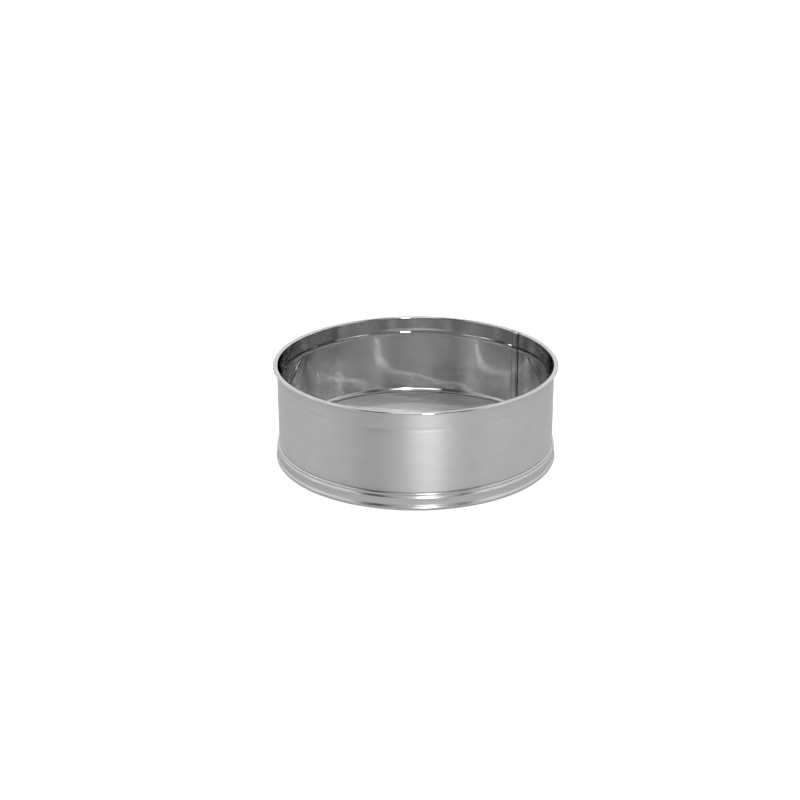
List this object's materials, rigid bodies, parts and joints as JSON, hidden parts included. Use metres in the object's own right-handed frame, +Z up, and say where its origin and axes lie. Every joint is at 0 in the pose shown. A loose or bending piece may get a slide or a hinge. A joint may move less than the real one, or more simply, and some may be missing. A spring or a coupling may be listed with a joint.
{
  "type": "tamis drum sieve",
  "caption": "Stainless steel drum sieve: a rolled sheet drum with a curled rim and a locked seam, fine wire mesh across its base, and a rolled ring that clamps the mesh and is the foot.",
  "frame": {"origin": "centre of the base ring on the table", "axes": "+Z up along the drum's axis, out of its open top; -Y towards the camera of the picture and +X to the right of it. The drum's upright seam is on the wall at 40 degrees from +X towards +Y"},
  "size_m": [0.2172, 0.2172, 0.076],
  "materials": {
    "polished_sheet": "bright-rolled stainless sheet with a soft polish, fine scuffs",
    "rolled_ring": "bright stainless sheet, more polished where it is rolled",
    "woven_wire": "satin stainless wire cloth",
    "hidden_wire": "drawn stainless wire"
  },
  "bodies": {
    "root": {"drum": "polished_sheet", "base_ring": "rolled_ring", "wire_mesh": "woven_wire", "tension_wire": "hidden_wire"}
  },
  "joints": []
}
